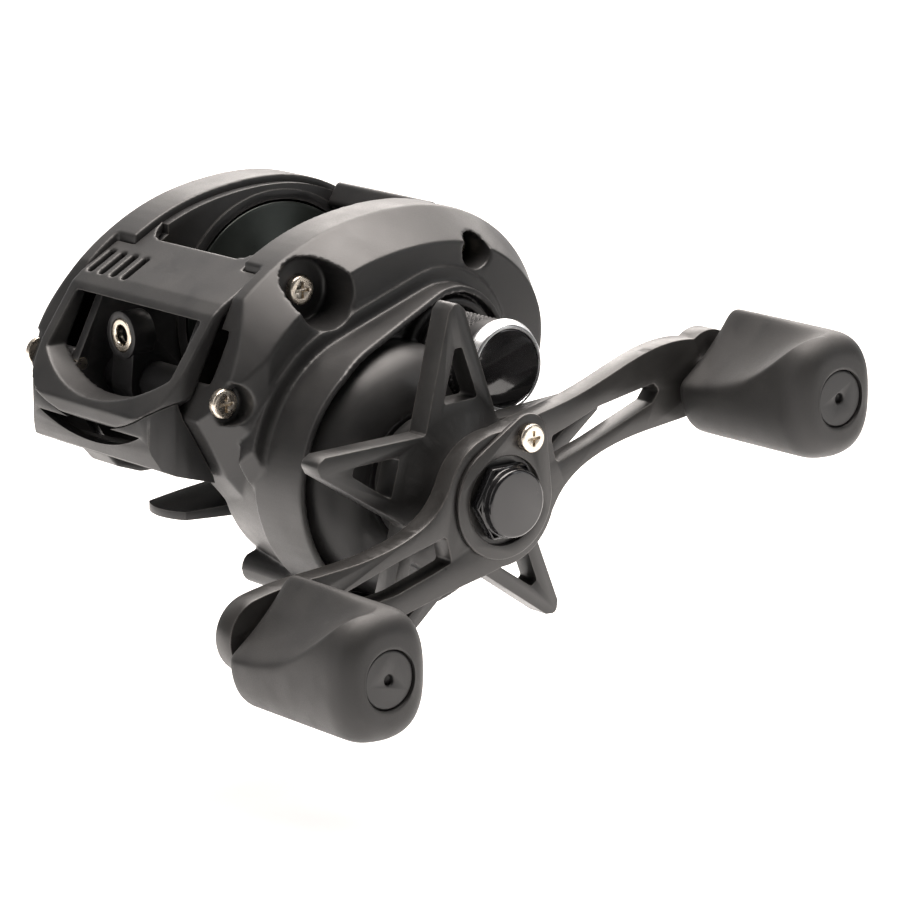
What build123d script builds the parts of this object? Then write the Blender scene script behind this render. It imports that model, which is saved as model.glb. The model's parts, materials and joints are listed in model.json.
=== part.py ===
from build123d import *
import math
import os

# Low-profile baitcasting reel, left-hand retrieve.
# Frame: +X towards the rod tip, +Y towards the handle, +Z up.
# Origin: centre of the foot's flat underside, on the mid-plane of the spool.

# ---------------------------------------------------------------- driving dimensions (mm)
DRIVE_X, DRIVE_Z = 9.0, 11.0          # handle and main-gear axis, along Y
SPOOL_X, SPOOL_Z = -3.7, 26.9         # spool axis, along Y
WORM_X, WORM_Z = 26.6, 20.6           # levelwind worm axis, along Y
RUN = 0.05                            # radial running clearance

PLATE_IN, PLATE_OUT = 12.8, 14.6      # frame side plates, distance from the mid-plane
CREASE_Y = 22.0                       # where the covers' upper chamfer starts
WALL_Y = 29.5                         # outer side wall of the covers
CHAMFER_IN = 4.8                      # how far the chamfer pulls the outline in
WALL_T = 1.8                          # cover wall

DRUM_R, DRUM_ROOT_R = 21.6, 18.7      # gear case round the drive axis
RIM_Y, RIM_LOW_Y = 39.5, 33.0         # rim height by the handle and by the tension knob
BOSS_R = 10.8                         # gear case round the spool axis
DOME_R, COLLAR_GAP_R, COLLAR_Y = 19.6, 10.7, 42.3

PINION_TEETH, MAIN_TEETH = 10, 64
LEVEL_DRIVE_TEETH, LEVEL_TEETH = 51, 17
CENTRE_DIST = math.hypot(DRIVE_X - SPOOL_X, DRIVE_Z - SPOOL_Z)
MAIN_MODULE = 2 * CENTRE_DIST / (PINION_TEETH + MAIN_TEETH)
LEVEL_DIST = math.hypot(DRIVE_X - WORM_X, DRIVE_Z - WORM_Z)
LEVEL_MODULE = 2 * LEVEL_DIST / (LEVEL_DRIVE_TEETH + LEVEL_TEETH)

SPOOL_FLANGE_R, SPOOL_ARBOR_R = 17.8, 10.2
SPOOL_SHAFT_R = 1.25
SHAFT_R = 3.0                         # drive shaft
STAR_TIP_R, STAR_HUB_R = 29.1, 12.0
STAR_Y, STAR_T = 47.7, 4.0
STAR_ANGLE = 15.3
STAR_ARMS = 5
ARM_Y, ARM_T = 56.9, 3.7              # handle arm
ARM_SWEEP = 2.2                       # how far its ends are swept towards the reel
KNOB_R, KNOB_ANGLE = 45.0, -18.0      # knob axes: radius on the arm and angle
KNOB_IN, KNOB_OUT = 60.0, 88.4        # knob length along Y
KNOB_HALF_W, KNOB_HALF_H = 8.0, 9.7   # oval section of the knobs
KNOB_NECK_H, KNOB_FLAT_END = 5.0, 84.0
KNOB_TWIST = 40.0                     # lean of the knobs' finger flats from level, degrees
KNOB_NOSE_R = 3.0                     # rounding of the outer end
NUT_IN, NUT_TOP = 60.8, 64.3
NUT_HEX_R, NUT_CAP_R = 6.3, 5.2
CAP_R, CAP_IN, CAP_OUT = 7.0, 33.5, 44.4
SCREW_R, SCREW_HEAD_R, SCREW_HEAD_T = 1.0, 2.3, 1.2
POST_OUT = 2.2                        # screw posts inside the covers

FOOT_LEN, FOOT_W, FOOT_T = 58.0, 16.0, 2.2

# side outline of the two covers (x, z), anticlockwise from the nose
CREST = [(38.6, 22.6), (31.2, 34.9), (21.0, 42.8), (13.1, 46.3), (3.2, 48.4),
         (-8.8, 48.4), (-16.7, 46.0), (-23.6, 41.3), (-28.2, 34.6), (-29.6, 27.0)]
FRONT_SEAM = [(26.7, 5.0), (31.6, 10.6), (35.2, 17.0)]
PALM_LOWER_Z = 3.4
FRONT_SLOPE = 27.0                    # lean of the window plane from upright, degrees
FRONT_TOP = (29.6, 34.9)              # a point on the hood's rear parting line

SPOOL_OPENING_R = 18.2
BEARING_R = 5.0                       # drive-shaft bearing, outside
TUBE_R, TUBE_BORE = 3.4, 2.5          # levelwind worm shield
GUIDE_BAR_X, GUIDE_BAR_Z, GUIDE_BAR_R = 19.2, 39.5, 1.0
FOOT_SCREWS_X = (-8.0, 10.0)
CASE_BOSS_X, CASE_BOSS_Z, CASE_BOSS_R = 21.5, -6.3, 2.5    # screw boss under the gear case
# cover screws: x, z, seat height and pocket radius
GEAR_SCREWS = [(17.6, 38.2, 22.0, 5.2), (34.2, 23.2, 24.6, 3.3), (-11.6, 41.6, 22.8, 2.8)]
PALM_SCREWS = [(17.6, 38.2, 22.0, 3.4), (34.2, 23.2, 24.6, 3.3), (-22.5, 14.0, 24.2, 3.0)]
HOOD_HALF_W, WINDOW_HALF_W = 19.2, 16.8
NOSE_TIP_X, NOSE_CORNER_R = 42.6, 6.5  # front of the hood in plan
ROOF_X, ROOF_HALF_W = 20.6, 14.0      # rear edge of the hood's roof, half width of the spool opening
RIM_SIDE_Z, RIM_MID_Z = 23.4, 16.6    # lower edge of the hood at its sides and amidships
HOOD_OUTLINE = [(17.4, 43.7), (29.6, 36.9), (31.6, 35.4), (42.6, 19.9), (42.3, 17.7), (40.4, 16.7),
                (38.95, 16.7), (29.7, 34.9), (17.4, 42.0)]
SILL_Z, LINTEL_Z = 20.9, 34.3         # bottom and top of the levelwind window
VENT_Y = (-17.2, -14.1, -11.0, -7.9)

RIM_FLOOR_Y, FLOOR_T = 31.3, 1.6      # sunk floor inside the gear case's rim
NECK_BORE, NECK_R = 8.0, 10.0         # seat of the anti-reverse bearing
BOSS_OUT, BOSS_IN = 5.7, 4.3          # tension-knob boss

PALM_BEARING_R, PALM_BOSS_R = 4.0, 5.3
SLEEVE_R, SLEEVE_BORE = 3.5, 1.6      # sleeve that guides the magnet holder
DIAL_R, DIAL_IN, DIAL_OUT = 11.5, 30.0, 32.2
DIAL_PIN_R, LEG_R, LEG_AT = 1.2, 0.8, 7.0
DIAL_TURN = 90.0
MAGNETS, MAGNET_R, MAGNET_AT = 6, 0.95, 4.75
HOLDER_R, HOLDER_IN, HOLDER_OUT = 5.9, 16.0, 19.5

SPOOL_PALM, SPOOL_GEAR = -13.2, 12.3
SPOOL_PIN_Y, SPOOL_PIN_R, SPOOL_PIN_HALF = 16.75, 0.5, 2.6
PINION_IN, GROOVE_IN, GROOVE_OUT, PINION_OUT = 16.2, 19.2, 21.2, 28.0
PINION_COLLAR_R, GROOVE_R, PINION_BORE = 3.4, 2.4, SPOOL_SHAFT_R + 0.1
YOKE_Y0, YOKE_Y1 = 19.45, 20.95
THUMB_TRAVEL = 4.0
THUMB_SLIDE_ANGLE = 230.0             # direction the thumb bar slides, degrees in XZ
THUMB_PIN_AT = (145.0, 20.6)          # angle and radius of its pin about the spool axis
POST_OFFSET, POST_R, POST_TOP = 8.5, 0.9, 25.4

MAIN_Y0, MAIN_Y1 = 24.0, 27.2
LEVEL_Y0, LEVEL_Y1 = 16.6, 18.2
DRAG_R, DRAG_T = 13.0, 0.6
SLEEVE_OUT = 4.95                     # one-way clutch sleeve
HUB_R = 10.4                          # handle arm round the drive axis
KNOB_END_R = 6.0                      # handle arm round each knob
BUSH_R, PIN_R = 2.9, 1.95
KNOB_CAP_R = 4.3
GUIDE_Y, GUIDE_HALF = -6.0, 2.7       # line guide: place along the worm and half width
RING_X, RING_Z, RING_OUT, RING_BORE = 30.7, 28.4, 2.75, 1.45

os.makedirs("parts", exist_ok=True)


# ---------------------------------------------------------------- helpers
def side_plane(y):
    """XZ drawing plane at height y, with local x = X and local y = Z."""
    return Plane(origin=(0, y, 0), x_dir=(1, 0, 0), z_dir=(0, -1, 0))


def slab(face, y0, y1):
    """Push an XZ face from y0 to y1."""
    return extrude(side_plane(y0) * face, amount=-(y1 - y0))


def disc(x, z, r, y0, y1):
    return slab(Pos(x, z) * Circle(r), y0, y1)


def ring(x, z, r_out, r_in, y0, y1):
    return slab(Pos(x, z) * Circle(r_out) - Pos(x, z) * Circle(r_in), y0, y1)


def box(x0, x1, y0, y1, z0, z1):
    return Pos((x0 + x1) / 2, (y0 + y1) / 2, (z0 + z1) / 2) * Box(x1 - x0, y1 - y0, z1 - z0)


def turned(x, z, profile):
    """Revolve an (r, y) polygon about the axis along Y through (x, z)."""
    pts = [(x + r, y) for r, y in profile]
    face = make_face(Polyline(*pts, close=True))
    return revolve(Plane(origin=(0, 0, z)) * face, Axis((x, 0, z), (0, 1, 0)), 360)


def polar(x, z, r, degrees):
    a = math.radians(degrees)
    return x + r * math.cos(a), z + r * math.sin(a)


def hull_face(x0, z0, r0, x1, z1, r1):
    """Two circles and their outer tangents."""
    return make_hull([*(Pos(x0, z0) * Circle(r0)).edges(), *(Pos(x1, z1) * Circle(r1)).edges()])


def gear_face(teeth, module, bore_r, phase=0.0):
    """Spur gear outline with straight-flanked teeth and a little backlash."""
    pitch = module * teeth / 2
    root, tip = pitch - 1.2 * module, pitch + 0.9 * module
    step = 360 / teeth
    pts = []
    for k in range(teeth):
        a = phase + k * step
        for r, share in ((root, -0.34), (tip, -0.11), (tip, 0.11), (root, 0.34)):
            pts.append(polar(0, 0, r, a + share * step))
    return make_face(Polyline(*pts, close=True)) - Circle(bore_r)


def gear(x, z, teeth, module, bore_r, y0, y1, phase=0.0):
    return slab(Pos(x, z) * gear_face(teeth, module, bore_r, phase), y0, y1)


def bearing(x, z, r_out, r_in, y0, y1):
    """Shielded ball bearing: two races and a recessed shield between them."""
    mid = (r_out + r_in) / 2
    half = (r_out - r_in) / 6
    groove = 0.25
    body = ring(x, z, r_out, r_in, y0, y1)
    for ya, yb in ((y0, y0 + groove), (y1 - groove, y1)):
        body -= ring(x, z, mid + half, mid - half, ya, yb)
    return body


def screw(x, z, y_seat, length, towards=-1, head_r=SCREW_HEAD_R):
    """Pan-head cross-slot screw along Y; towards gives the way the shank points."""
    head = disc(x, z, head_r, *sorted((y_seat, y_seat - towards * SCREW_HEAD_T)))
    head = fillet(head.faces().sort_by(Axis.Y)[0 if towards > 0 else -1].edges(), 0.45)
    top = y_seat - towards * SCREW_HEAD_T
    slot_end = top + towards * 0.7
    for w, h in ((head_r * 1.1, 0.5), (0.5, head_r * 1.1)):
        head -= slab(Pos(x, z) * Rectangle(w, h), *sorted((top, slot_end)))
    shank = disc(x, z, SCREW_R, *sorted((y_seat, y_seat + towards * length)))
    return head + shank


def node(name, *solids):
    """Write one named node; several solids stay separate."""
    shape = solids[0] if len(solids) == 1 else Compound(children=list(solids))
    export_step(shape, f"parts/{name}.step")


# ---------------------------------------------------------------- body outlines (XZ)
def inset_loop(points, inset):
    """Move every point of a closed, anticlockwise loop inwards, keeping the sides parallel."""
    moved = []
    for k, here in enumerate(points):
        before, after = points[k - 1], points[(k + 1) % len(points)]
        into = (Vector(*here) - Vector(*before)).normalized()
        out = (Vector(*after) - Vector(*here)).normalized()
        side = Vector(-(into.Y + out.Y), into.X + out.X).normalized()
        stretch = max(0.5, side.dot(Vector(-into.Y, into.X)))
        shifted = Vector(*here) + side * (inset / stretch)
        moved.append((shifted.X, shifted.Y))
    return moved


def cover_outline(side, inset=0.0):
    """Side outline: crest, rear, belly (round the drive axis on the handle side), front seam."""
    rear = [(-27.4, 17.5), (-20.0, 7.5)]
    if side > 0:
        belly = [polar(DRIVE_X, DRIVE_Z, DRUM_ROOT_R, a) for a in (212, 270, 322)]
    else:
        belly = [(-8.0, PALM_LOWER_Z), (7.0, PALM_LOWER_Z), (22.0, PALM_LOWER_Z)]
    loop = inset_loop(CREST + rear + belly + FRONT_SEAM, inset)
    n, m = len(CREST), len(CREST) + len(rear)
    top = Spline(*loop[:n])
    back = Spline(*loop[n - 1:m + 1])
    bottom = ThreePointArc(*loop[m:m + 3]) if side > 0 else Polyline(*loop[m:m + 3])
    seam = Polyline(*loop[m + 2:], loop[0])
    return make_face(top + back + bottom + seam)


def ahead_of_hood_line(shift):
    """Everything in front of the hood's leaning parting plane, shifted along +X."""
    x, z = FRONT_TOP[0] + shift, FRONT_TOP[1]
    block = Pos(40, 0, 0) * Box(80, 120, 160)
    return Pos(x, 0, z) * Rot(0, -FRONT_SLOPE, 0) * block


def nose_taper(side, inset=0.0):
    """Plan shape of a cover: full width amidships, drawn in round the front and rear corners."""
    half = WALL_Y + 1.5
    loop = [(-33.5, 10.0), (41.5, 10.0), (40.0, 18.5), (36.5, 24.6), (31.0, 28.6), (22.0, half),
            (-20.0, half), (-28.5, 28.0), (-32.0, 21.0)]
    loop = [(x, side * y) for x, y in inset_loop(loop, inset)]
    front, back = Spline(*loop[1:6]), Spline(*loop[6:], loop[0])
    face = make_face(Line(loop[0], loop[1]) + front + Line(loop[5], loop[6]) + back)
    return extrude(Plane(origin=(0, 0, -20)) * face, amount=80)


def cover_block(side, inset, reach):
    """Solid cover blank: straight to the crease, then a chamfer to the side wall."""
    s = side
    crease = CREASE_Y - inset * 0.35
    wide, small = cover_outline(s, inset), cover_outline(s, inset + CHAMFER_IN)
    straight = slab(wide, *sorted((s * PLATE_OUT, s * crease)))
    return straight + loft([side_plane(s * crease) * wide, side_plane(s * reach) * small], ruled=True)


# ---------------------------------------------------------------- frame and outer shells
def sector(x, z, r_out, r_in, a0, a1):
    """Part of a ring between two angles."""
    mid = (a0 + a1) / 2
    outer = ThreePointArc(*(polar(x, z, r_out, a) for a in (a0, mid, a1)))
    inner = ThreePointArc(*(polar(x, z, r_in, a) for a in (a1, mid, a0)))
    return make_face(outer + Line(outer @ 1, inner @ 0) + inner + Line(inner @ 1, outer @ 0))


def slot_face(x, z, r, angle, length):
    """Round-ended slot from a point along an angle."""
    x1, z1 = polar(x, z, length, angle)
    return hull_face(x, z, r, x1, z1, r * 1.0001)


def post_points():
    """Centres of the two yoke posts, square to the line between the two axes."""
    a = math.degrees(math.atan2(SPOOL_Z - DRIVE_Z, SPOOL_X - DRIVE_X))
    return [polar(SPOOL_X, SPOOL_Z, POST_OFFSET, a + turn) for turn in (-90, 90)]


def thumb_pin():
    angle, radius = THUMB_PIN_AT
    return polar(SPOOL_X, SPOOL_Z, radius, angle)


def frame_node():
    """One-piece frame: two side plates, a floor, a trough behind the spool and a foot pad."""
    inset = 1.2
    gear_plate = slab(cover_outline(1, inset), PLATE_IN, PLATE_OUT)
    palm_plate = slab(cover_outline(-1, inset), -PLATE_OUT, -PLATE_IN)
    trough = slab(sector(SPOOL_X, SPOOL_Z, 20.8, 19.2, 182, 262), -PLATE_IN, PLATE_IN)
    floor = make_face(Polyline((-7.0, 6.3), (-7.0, 7.6), (14.0, 7.6), (21.5, 8.0), (38.6, 13.8),
                               (39.8, 13.2), (39.4, 11.6), (21.5, 5.6), (14.0, 5.2), close=True))
    body = gear_plate + palm_plate + trough + slab(floor, -PLATE_IN, PLATE_IN)
    body += box(-12.0, 14.0, -6.0, 6.0, 5.0, 6.6)
    body += ring(SPOOL_X, SPOOL_Z, 19.8, SPOOL_OPENING_R, -PLATE_IN, -PLATE_IN + 0.5)
    body -= disc(SPOOL_X, SPOOL_Z, SPOOL_OPENING_R, -PLATE_OUT, -PLATE_IN + 1.0)
    body -= disc(SPOOL_X, SPOOL_Z, 4.2, PLATE_IN, PLATE_OUT)
    body -= disc(DRIVE_X, DRIVE_Z, BEARING_R, PLATE_IN, PLATE_OUT)
    for y0, y1 in ((PLATE_IN, PLATE_OUT), (-PLATE_OUT, -PLATE_IN)):
        body -= disc(WORM_X, WORM_Z, TUBE_R, y0, y1)
        body -= disc(GUIDE_BAR_X, GUIDE_BAR_Z, GUIDE_BAR_R, y0, y1)
    px, pz = thumb_pin()
    body -= slab(slot_face(px, pz, 1.5, THUMB_SLIDE_ANGLE, THUMB_TRAVEL), PLATE_IN, PLATE_OUT)
    for x, z in post_points():
        body -= disc(x, z, POST_R, PLATE_IN, PLATE_OUT)
    for screws, y0, y1 in ((GEAR_SCREWS, PLATE_IN, PLATE_OUT), (PALM_SCREWS, -PLATE_OUT, -PLATE_IN)):
        for x, z, _, _ in screws:
            body -= disc(x, z, SCREW_R, y0, y1)
    for x in FOOT_SCREWS_X:
        body -= Pos(x, 0, 6.2) * Cylinder(SCREW_R, 3.2)
    under_roof = make_face(Polyline((17.2, 41.8), (29.6, 34.6), (45, 34.6), (45, 60), (17.2, 60),
                                    close=True))
    body -= slab(under_roof, -PLATE_OUT, PLATE_OUT)
    return body - ahead_of_hood_line(-0.25) + chin()


def foot_node():
    """Reel foot: thin tapered saddle plate with a raised pad under the frame."""
    half, w = FOOT_LEN / 2, FOOT_W / 2
    side = Spline((0, w), (half * 0.55, w * 0.92), (half - 1.5, w * 0.62))
    tip = ThreePointArc((half - 1.5, w * 0.62), (half, 0), (half - 1.5, -w * 0.62))
    quarter = side + tip + mirror(side, about=Plane.XZ)
    plan = make_face(quarter + mirror(quarter, about=Plane.YZ))
    plate = extrude(plan, amount=FOOT_T)
    wedge = make_face(Polyline((-half, 0), (-half, 1.3), (-12, FOOT_T), (12, FOOT_T), (half, 1.3),
                               (half, 0), close=True))
    plate = plate & slab(wedge, -w, w)
    pad = box(-12.0, 14.0, -5.0, 5.0, FOOT_T, 5.0)
    body = plate + fillet(pad.edges().filter_by(Axis.Z), 1.5)
    for x in FOOT_SCREWS_X:
        body -= Pos(x, 0, 2.5) * Cylinder(SCREW_R, 5.2)
        body -= Pos(x, 0, 0.9) * Cylinder(SCREW_HEAD_R, 1.8)
    return body


def foot_screws():
    """Screws from below, their heads sunk in the foot."""
    out = []
    for x in FOOT_SCREWS_X:
        head = Pos(x, 0, 1.2) * Cylinder(SCREW_HEAD_R, 1.2)
        for w, h in ((2.6, 0.5), (0.5, 2.6)):
            head -= Pos(x, 0, 0.9) * Box(w, h, 0.7)
        out.append(head + Pos(x, 0, 4.6) * Cylinder(SCREW_R, 5.6))
    return out


def smile(y_end, z_end, z_mid, top):
    """Block along X above an arc that sags from (y_end, z_end) on both sides to z_mid amidships."""
    arc = ThreePointArc((-y_end, z_end), (0, z_mid), (y_end, z_end))
    lid = Polyline((y_end, z_end), (y_end, top), (-y_end, top), (-y_end, z_end))
    across = Plane(origin=(0, 0, 0), x_dir=(0, 1, 0), z_dir=(1, 0, 0))
    return extrude(across * make_face(arc + lid), amount=60)


def above_rim_arc(drop=0.0):
    """Everything above the hood's lower edge."""
    return smile(HOOD_HALF_W + 0.2, RIM_SIDE_Z - drop, RIM_MID_Z - drop, 60)


def nose_plan(half_w):
    """Rounded nose of the hood and chin, seen from above."""
    plan = Pos(NOSE_TIP_X - 30, 0) * RectangleRounded(60, 2 * half_w, NOSE_CORNER_R)
    return extrude(Plane(origin=(0, 0, 5)) * plan, amount=50)


def hood_node():
    """Front hood: roof, two pillars and a rim round the levelwind window."""
    body = slab(make_face(Polyline(*HOOD_OUTLINE, close=True)), -HOOD_HALF_W, HOOD_HALF_W)
    body = body & nose_plan(HOOD_HALF_W) & above_rim_arc()
    for s in (-1, 1):
        body -= box(10, 22.6, *sorted((s * 14.4, s * 25)), 30, 50)
    opening = Plane(origin=(0, 0, 30)) * (Pos(ROOF_X - 20, 0) * RectangleRounded(40, 2 * ROOF_HALF_W, 4.0))
    body -= extrude(opening, amount=30)
    window = make_face(Polyline((25, LINTEL_Z), (33.5, LINTEL_Z), (46, SILL_Z + 0.7), (46, 18.0),
                                (34, 18.0), (25, 30), close=True))
    body -= slab(window, -WINDOW_HALF_W, WINDOW_HALF_W) & smile(WINDOW_HALF_W, SILL_Z + 5.0, SILL_Z, 40)
    for y in VENT_Y:
        body -= Pos(27.2, y, 38.5) * Rot(0, 29, 0) * Box(5.6, 1.5, 8)
    return body


def chin():
    """Front of the frame under the hood's rim, with a crescent slot, closed in beside the covers."""
    face = make_face(Polyline((31.9, 10.45), (35.35, 16.75), (37.2, 19.9), (38.6, 24), (42.2, 24),
                              (42.0, 17.5), (41.4, 14.5), (40.4, 12.2), (38.6, 11.3), (31.6, 9.3),
                              close=True))
    body = slab(face, -HOOD_HALF_W, HOOD_HALF_W) & nose_plan(HOOD_HALF_W - 0.3)
    body -= above_rim_arc(0.15)
    inner = make_face(Polyline((30, 25), (30, 11.2), (38.2, 12.9), (39.4, 13.6), (39.9, 17.5), (40.2, 25),
                               close=True))
    body -= slab(inner, -PLATE_IN, PLATE_IN)
    slot = smile(13.6, 16.9, 13.9, 17.0) & box(36, 46, -15, 15, 10, 20)
    return body - slot


def case_hull(shrink=0.0):
    """Egg-shaped gear case outline: round the drive axis and round the spool axis."""
    return hull_face(DRIVE_X, DRIVE_Z, DRUM_R - shrink, SPOOL_X, SPOOL_Z, BOSS_R - shrink)


def above_rim():
    """Everything over the rim, which falls away towards the tension knob."""
    d = Vector(SPOOL_X - DRIVE_X, 0, SPOOL_Z - DRIVE_Z).normalized()
    low = Vector(SPOOL_X, RIM_LOW_Y, SPOOL_Z) + d * BOSS_R
    high = Vector(DRIVE_X, RIM_Y, DRIVE_Z) + d * 5.0
    slope = (high - low).normalized()
    across = Vector(0, 1, 0).cross(d)
    plane = Plane(origin=low, x_dir=across, z_dir=slope.cross(across))
    if plane.z_dir.Y < 0:
        plane = Plane(origin=low, x_dir=across, z_dir=-plane.z_dir)
    return extrude(plane * Rectangle(160, 160), amount=60)


def dome():
    """Convex dome between the sunk floor and the gap round the star's collar."""
    side = Line((DOME_R, RIM_FLOOR_Y), (DOME_R, 36.0))
    crown = ThreePointArc((DOME_R, 36.0), (16.6, 40.2), (COLLAR_GAP_R, COLLAR_Y))
    lip = Polyline((COLLAR_GAP_R, COLLAR_Y), (10.4, 41.7), (NECK_BORE, 41.7), (NECK_BORE, RIM_FLOOR_Y),
                   (DOME_R, RIM_FLOOR_Y))
    face = make_face(side + crown + lip)
    whole = Pos(DRIVE_X, 0, DRIVE_Z) * revolve(face, Axis.Y, 360)
    return whole - disc(SPOOL_X, SPOOL_Z, CAP_R + 0.7, CAP_IN - 0.3, COLLAR_Y)


def gear_cover_node():
    """Handle-side cover with the gear case, its rim, the dome and the tension-knob boss."""
    body = cover_block(1, 0, WALL_Y)
    flare = turned(DRIVE_X, DRIVE_Z, [(0, PLATE_OUT), (DRUM_ROOT_R, PLATE_OUT), (DRUM_R - 0.3, WALL_Y),
                                      (0, WALL_Y)])
    body += flare
    body = body & nose_taper(1)
    ridge = slab(case_hull(-2.4), WALL_Y - 3.0, WALL_Y + 0.6)
    body += ridge & cover_block(1, -1.5, WALL_Y + 3.0)
    rim = slab(case_hull(), WALL_Y - 2.0, RIM_Y) - above_rim()
    body += rim
    body -= slab(case_hull(1.1), RIM_FLOOR_Y, RIM_Y + 1)
    body += dome()
    body += ring(SPOOL_X, SPOOL_Z, 8.9, 7.5, RIM_FLOOR_Y, 33.2) & slab(case_hull(0.5), RIM_FLOOR_Y, 34)
    body += disc(SPOOL_X, SPOOL_Z, BOSS_OUT, RIM_FLOOR_Y - 2, 42.0)
    # hollow inside
    body -= cover_block(1, WALL_T, WALL_Y - WALL_T) & nose_taper(1, WALL_T)
    inner = WALL_Y - 1.0
    body -= turned(DRIVE_X, DRIVE_Z, [(0, PLATE_OUT), (DRUM_ROOT_R - 1.6, PLATE_OUT), (DRUM_R - 2.0, inner),
                                      (0, inner)])
    body -= slab(case_hull(1.9), WALL_Y - 3.0, RIM_FLOOR_Y - FLOOR_T)
    cavity = ring(DRIVE_X, DRIVE_Z, DOME_R - 2.0, NECK_R, RIM_FLOOR_Y - FLOOR_T, 36.0)
    body -= cavity - disc(SPOOL_X, SPOOL_Z, CAP_R + 2.2, RIM_FLOOR_Y, 36.0)
    body -= disc(DRIVE_X, DRIVE_Z, NECK_BORE, RIM_FLOOR_Y - FLOOR_T, 45)
    body += ring(SPOOL_X, SPOOL_Z, BOSS_OUT, BOSS_IN, WALL_Y - WALL_T, 42.0)
    body -= disc(SPOOL_X, SPOOL_Z, BOSS_IN, RIM_FLOOR_Y - 3, 43)
    boss = disc(CASE_BOSS_X, CASE_BOSS_Z, CASE_BOSS_R, PLATE_OUT, WALL_Y - 3.0)
    body += boss - disc(DRIVE_X, DRIVE_Z, DRUM_ROOT_R - 0.2, PLATE_OUT, WALL_Y)
    body -= disc(CASE_BOSS_X, CASE_BOSS_Z, SCREW_R, PLATE_OUT, WALL_Y - 9.0)
    return finish_cover(body, 1, GEAR_SCREWS)


def finish_cover(body, side, screws):
    """Screw posts and pockets, the hood's corner and the leaning parting line to the hood."""
    s = side
    blank = cover_block(s, 0, WALL_Y) & nose_taper(s)
    for x, z, seat, pocket in screws:
        body += disc(x, z, POST_OUT, *sorted((s * PLATE_OUT, s * (seat - 0.2)))) & blank
        body += disc(x, z, pocket + 1.4, *sorted((s * (seat - 1.6), s * WALL_Y))) & blank
        body -= disc(x, z, pocket, *sorted((s * seat, s * (WALL_Y + 4))))
        body -= disc(x, z, SCREW_R, *sorted((s * PLATE_IN, s * WALL_Y)))
    body -= box(22.4, 45, -HOOD_HALF_W - 0.15, HOOD_HALF_W + 0.15, 30.0, 60)
    return body - ahead_of_hood_line(0.0)


# ---------------------------------------------------------------- palm side and brake
def palm_cover_node():
    """Palm-side cover with the spool bearing boss, the magnet sleeve and two cam slots."""
    body = cover_block(-1, 0, WALL_Y) & nose_taper(-1)
    body -= cover_block(-1, WALL_T, WALL_Y - WALL_T) & nose_taper(-1, WALL_T)
    body += disc(SPOOL_X, SPOOL_Z, PALM_BOSS_R, -WALL_Y, -24.0)
    body -= disc(SPOOL_X, SPOOL_Z, PALM_BEARING_R, -WALL_Y + WALL_T, -24.0)
    body += disc(SPOOL_X, SPOOL_Z, PALM_BOSS_R, -24.0, -23.2)
    body += disc(SPOOL_X, SPOOL_Z, SLEEVE_R, -23.4, -15.6)
    body -= disc(SPOOL_X, SPOOL_Z, SLEEVE_BORE, -24.5, -15.0)
    body -= disc(SPOOL_X, SPOOL_Z, DIAL_PIN_R + RUN, -WALL_Y, -28.4)
    reach = LEG_R + 0.2
    for start in (0.0, 180.0):
        arc = sector(SPOOL_X, SPOOL_Z, LEG_AT + reach, LEG_AT - reach, start - 10, start + DIAL_TURN + 10)
        body -= slab(arc, -WALL_Y - 1, -WALL_Y + WALL_T + 0.5)
    return finish_cover(body, -1, PALM_SCREWS)


def cover_screws(side, places):
    return [screw(x, z, side * seat, seat - PLATE_IN, towards=-side) for x, z, seat, _ in places]


def brake_dial_node():
    """Cast-control dial with finger notches, a centre pin and two cam legs."""
    body = disc(SPOOL_X, SPOOL_Z, DIAL_R, -DIAL_OUT, -DIAL_IN)
    body = fillet(body.faces().sort_by(Axis.Y)[0].edges(), 0.6)
    for k in range(24):
        x, z = polar(SPOOL_X, SPOOL_Z, DIAL_R + 0.5, k * 15)
        body -= disc(x, z, 1.0, -DIAL_OUT - 0.1, -DIAL_IN + 0.1)
    body += disc(SPOOL_X, SPOOL_Z, DIAL_PIN_R, -DIAL_IN, -28.6)
    for start in (0.0, 180.0):
        x, z = polar(SPOOL_X, SPOOL_Z, LEG_AT, start)
        body += disc(x, z, LEG_R, -DIAL_IN, -20.2)
    return body


def magnet_points():
    return [polar(SPOOL_X, SPOOL_Z, MAGNET_AT, 30 + k * 360 / MAGNETS) for k in range(MAGNETS)]


def magnet_holder_node():
    body = ring(SPOOL_X, SPOOL_Z, HOLDER_R, SLEEVE_R + RUN, -HOLDER_OUT, -HOLDER_IN)
    for x, z in magnet_points():
        body -= disc(x, z, MAGNET_R, -17.6, -HOLDER_IN)
    return body


def magnets():
    return [disc(x, z, MAGNET_R, -17.6, -HOLDER_IN) for x, z in magnet_points()]


# ---------------------------------------------------------------- spool
def spool_node():
    """Shallow-flanged spool: thin arbor tube, centre web and hub."""
    r, a, hub = SPOOL_FLANGE_R, SPOOL_ARBOR_R, 3.0
    profile = [(SPOOL_SHAFT_R, -12.0), (hub, -12.0), (hub, -1.0), (a - 1.4, -1.0), (a - 1.4, SPOOL_PALM),
               (r, SPOOL_PALM), (r, -12.2), (r - 0.6, -12.0), (a + 1.6, -10.8), (a, -9.6),
               (a, 9.0), (a + 1.6, 10.2), (r - 0.6, 11.4), (r, 11.6), (r, SPOOL_GEAR),
               (a - 1.4, SPOOL_GEAR), (a - 1.4, 1.0), (hub, 1.0), (hub, SPOOL_GEAR),
               (SPOOL_SHAFT_R, SPOOL_GEAR)]
    body = turned(SPOOL_X, SPOOL_Z, profile)
    for k in range(8):
        x, z = polar(SPOOL_X, SPOOL_Z, 5.9, k * 45)
        body -= disc(x, z, 1.6, -2, 2)
    return body


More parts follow.
